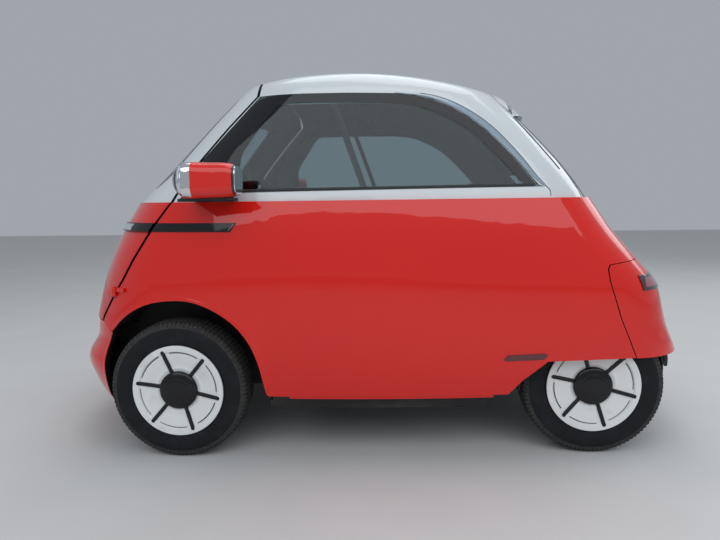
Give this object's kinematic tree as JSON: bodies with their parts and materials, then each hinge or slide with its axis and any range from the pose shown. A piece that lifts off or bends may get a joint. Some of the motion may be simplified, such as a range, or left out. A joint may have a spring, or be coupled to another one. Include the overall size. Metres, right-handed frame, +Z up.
{
  "type": "microcar",
  "caption": "Two-tone electric bubble microcar with a side-hinged front door, a tailgate, steered front wheels and a bench for two.",
  "frame": {"origin": "on the ground under the middle of the car's bounding box", "axes": "+X towards the tail, +Y towards the car's right side, +Z up"},
  "size_m": [2.4974, 1.7312, 1.5009],
  "materials": {
    "red_paint": "gloss",
    "white_paint": "gloss",
    "tinted_glass": "polished",
    "black_gloss": "gloss",
    "black_plastic": "satin",
    "lamp_red": "gloss",
    "lens": "polished",
    "tyre": "matt",
    "cover_white": "gloss",
    "chassis_steel": "satin",
    "alloy": "cast",
    "seat_cloth": "woven",
    "mirror_glass": "polished"
  },
  "bodies": {
    "body": {"battery_block": "alloy", "bench_base": "black_plastic", "drive_block": "alloy", "floor_tub": "chassis_steel", "front_arch_liners": "black_plastic", "front_bumper": "red_paint", "front_suspension": "chassis_steel", "hinge_fixed_leaf": "red_paint", "jack_pads": "black_plastic", "pod_feet": "black_plastic", "pod_lenses": "lens", "pod_mirrors": "mirror_glass", "pod_shells": "red_paint", "rear_arch_liners": "black_plastic", "rear_fascia": "red_paint", "rear_lamps": "lamp_red", "rear_swing_arm": "chassis_steel", "rear_valance": "black_plastic", "rocker_strips": "red_paint", "roof_shell": "white_paint", "seat_back": "seat_cloth", "seat_cushion": "seat_cloth", "side_panel_left": "red_paint", "side_panel_right": "red_paint", "side_reflectors": "lamp_red", "side_strips": "black_gloss", "side_windows": "tinted_glass", "steering_column": "black_plastic", "tail_hinge_fixed": "chassis_steel", "window_bars": "black_gloss"},
    "front_door": {"door_panel": "red_paint", "door_frame": "white_paint", "windscreen": "tinted_glass", "lamp_strip": "black_gloss", "door_bar": "black_plastic", "hinge_door_leaf": "red_paint"},
    "tailgate": {"tailgate_panel": "red_paint", "rear_window": "tinted_glass", "spoiler": "white_paint", "tail_hinge_leaf": "chassis_steel"},
    "knuckle_left": {"knuckle_left": "chassis_steel"},
    "knuckle_right": {"knuckle_right": "chassis_steel"},
    "steering_wheel": {"steering_wheel": "black_plastic"},
    "wheel_front_left": {"tyre_front_left": "tyre", "rim_front_left": "chassis_steel", "cover_front_left": "cover_white", "cap_front_left": "black_gloss"},
    "wheel_front_right": {"tyre_front_right": "tyre", "rim_front_right": "chassis_steel", "cover_front_right": "cover_white", "cap_front_right": "black_gloss"},
    "wheel_rear_left": {"tyre_rear_left": "tyre", "rim_rear_left": "chassis_steel", "cover_rear_left": "cover_white", "cap_rear_left": "black_gloss"},
    "wheel_rear_right": {"tyre_rear_right": "tyre", "rim_rear_right": "chassis_steel", "cover_rear_right": "cover_white", "cap_rear_right": "black_gloss"}
  },
  "joints": [
    {"name": "front_door_hinge", "type": "hinge", "parent": "body", "child": "front_door", "pos_m": [-0.974, -0.612, 0.64], "axis": [0, 0, 1], "range_deg": [0, 78]},
    {"name": "tailgate_hinge", "type": "hinge", "parent": "body", "child": "tailgate", "pos_m": [0.551, 0, 1.38], "axis": [0, -1, 0], "range_deg": [0, 75]},
    {"name": "steer_left", "type": "hinge", "parent": "body", "child": "knuckle_left", "pos_m": [-0.7225, -0.54, 0.266], "axis": [0, 0, 1], "range_deg": [-30, 30]},
    {"name": "steer_right", "type": "hinge", "parent": "body", "child": "knuckle_right", "pos_m": [-0.7225, 0.54, 0.266], "axis": [0, 0, 1], "range_deg": [-30, 30]},
    {"name": "steering_wheel_turn", "type": "hinge", "parent": "body", "child": "steering_wheel", "pos_m": [-0.429, -0.285, 0.933], "axis": [-0.9272, 0, -0.3746], "range_deg": [-450, 450]},
    {"name": "spin_front_left", "type": "hinge", "parent": "knuckle_left", "child": "wheel_front_left", "pos_m": [-0.7225, -0.593, 0.266], "axis": [0, 1, 0], "continuous": true},
    {"name": "spin_front_right", "type": "hinge", "parent": "knuckle_right", "child": "wheel_front_right", "pos_m": [-0.7225, 0.593, 0.266], "axis": [0, 1, 0], "continuous": true},
    {"name": "spin_rear_left", "type": "hinge", "parent": "body", "child": "wheel_rear_left", "pos_m": [0.8525, -0.508, 0.266], "axis": [0, 1, 0], "continuous": true},
    {"name": "spin_rear_right", "type": "hinge", "parent": "body", "child": "wheel_rear_right", "pos_m": [0.8525, 0.508, 0.266], "axis": [0, 1, 0], "continuous": true}
  ],
  "couplings": [
    {"joint": "steer_right", "follows": "steer_left", "ratio": 1},
    {"joint": "steering_wheel_turn", "follows": "steer_left", "ratio": 15}
  ]
}
